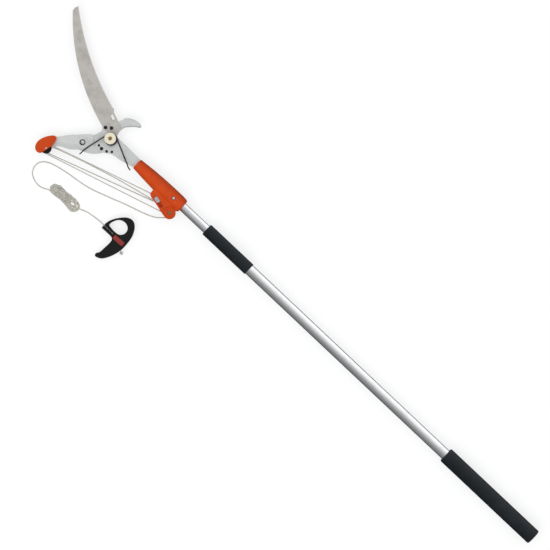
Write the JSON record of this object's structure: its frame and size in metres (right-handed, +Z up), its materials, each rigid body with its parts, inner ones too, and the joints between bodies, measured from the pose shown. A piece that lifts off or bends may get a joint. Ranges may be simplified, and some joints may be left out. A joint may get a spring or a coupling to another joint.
{
  "type": "telescoping pole saw",
  "caption": "Telescoping two-section aluminium pole with a curved pruning saw, a hook and a rope-pulled bypass lopper with a spring return, rope tackle and D-shaped pull handle.",
  "frame": {"origin": "centre of the flat face at the butt end of the pole's grip", "axes": "+X along the pole from the butt to the cutting head, +Z up from the ground with the head lying flat, +Y towards the lever, rope and pull handle"},
  "size_m": [1.882, 0.461, 0.044],
  "materials": {
    "satin_aluminium": "bright satin, drawn lengthwise",
    "grip_black": "smooth, slightly blue black",
    "black_plastic": "moulded, low gloss",
    "natural_nylon": "translucent off-white",
    "orange_plastic": "moulded orange-red",
    "plate_steel": "satin plated",
    "saw_steel": "ground, warm grey",
    "blackened_steel": "black oxide",
    "zinc_steel": "bright zinc",
    "yellow_zinc_steel": "yellow zinc",
    "cream_plastic": "smooth cream",
    "braided_rope": "fine braid",
    "red_plastic": "moulded red"
  },
  "bodies": {
    "pole_base": {"lower_tube": "satin_aluminium", "lower_tube_plug": "black_plastic", "bottom_grip": "grip_black", "lock_body": "black_plastic", "lock_collet": "natural_nylon"},
    "twist_sleeve": {"lock_sleeve": "grip_black"},
    "head": {"upper_tube": "satin_aluminium", "upper_tube_bush": "black_plastic", "housing_upper_shell": "orange_plastic", "housing_lower_shell": "orange_plastic", "housing_screws": "zinc_steel", "pole_bolt": "zinc_steel", "pole_nut": "zinc_steel", "frame_plate": "plate_steel", "frame_studs": "blackened_steel", "saw_blade": "saw_steel", "saw_bolts": "blackened_steel", "saw_nuts": "blackened_steel", "pivot_bolt": "yellow_zinc_steel", "pivot_nut": "blackened_steel", "spring_spool": "cream_plastic", "return_spring": "blackened_steel", "front_sheave_pin": "zinc_steel", "rear_sheave_screw": "yellow_zinc_steel", "tackle_rope": "braided_rope", "anchor_knot": "braided_rope", "pull_rope": "braided_rope", "rope_hank": "braided_rope", "handle_rope": "braided_rope", "end_knot": "braided_rope", "handle_body": "black_plastic", "rope_lock_spring": "zinc_steel"},
    "lever": {"cutting_blade": "plate_steel", "lever_arm": "plate_steel", "lever_rivet": "blackened_steel", "lever_cap": "orange_plastic", "lever_sheave_pin": "zinc_steel"},
    "upper_lever_wheel": {"lever_sheave_upper": "black_plastic"},
    "lower_lever_wheel": {"lever_sheave_lower": "black_plastic"},
    "front_wheel": {"housing_sheave_front": "zinc_steel"},
    "rear_wheel": {"housing_sheave_rear": "black_plastic"},
    "lock_button": {"rope_lock_button": "red_plastic"}
  },
  "joints": [
    {"name": "pole_extend", "type": "slide", "parent": "pole_base", "child": "head", "axis": [1, 0, 0], "range_m": [0, 0.9]},
    {"name": "lock_twist", "type": "hinge", "parent": "pole_base", "child": "twist_sleeve", "pos_m": [1.134, 0, 0], "axis": [1, 0, 0], "range_deg": [0, 90]},
    {"name": "lever_close", "type": "hinge", "parent": "head", "child": "lever", "pos_m": [1.57, 0, 0], "axis": [0, 0, 1], "range_deg": [0, 56], "stiffness_Nm_per_rad": 1.7, "springref_deg": -60.16, "deforming": ["return_spring", "tackle_rope"]},
    {"name": "upper_lever_wheel_spin", "type": "hinge", "parent": "lever", "child": "upper_lever_wheel", "pos_m": [1.6782, 0.1376, 0], "axis": [0, 0, 1], "continuous": true},
    {"name": "lower_lever_wheel_spin", "type": "hinge", "parent": "lever", "child": "lower_lever_wheel", "pos_m": [1.6782, 0.1376, 0], "axis": [0, 0, 1], "continuous": true},
    {"name": "front_wheel_spin", "type": "hinge", "parent": "head", "child": "front_wheel", "pos_m": [1.365, 0.033, 0], "axis": [0, 0, 1], "continuous": true},
    {"name": "rear_wheel_spin", "type": "hinge", "parent": "head", "child": "rear_wheel", "pos_m": [1.316, 0.037, 0], "axis": [0, 0, 1], "continuous": true},
    {"name": "rope_lock", "type": "slide", "parent": "head", "child": "lock_button", "axis": [0, 0, -1], "range_m": [0, 0.0025], "stiffness_N_per_m": 300, "springref_m": -0.004, "deforming": ["rope_lock_spring"]}
  ]
}
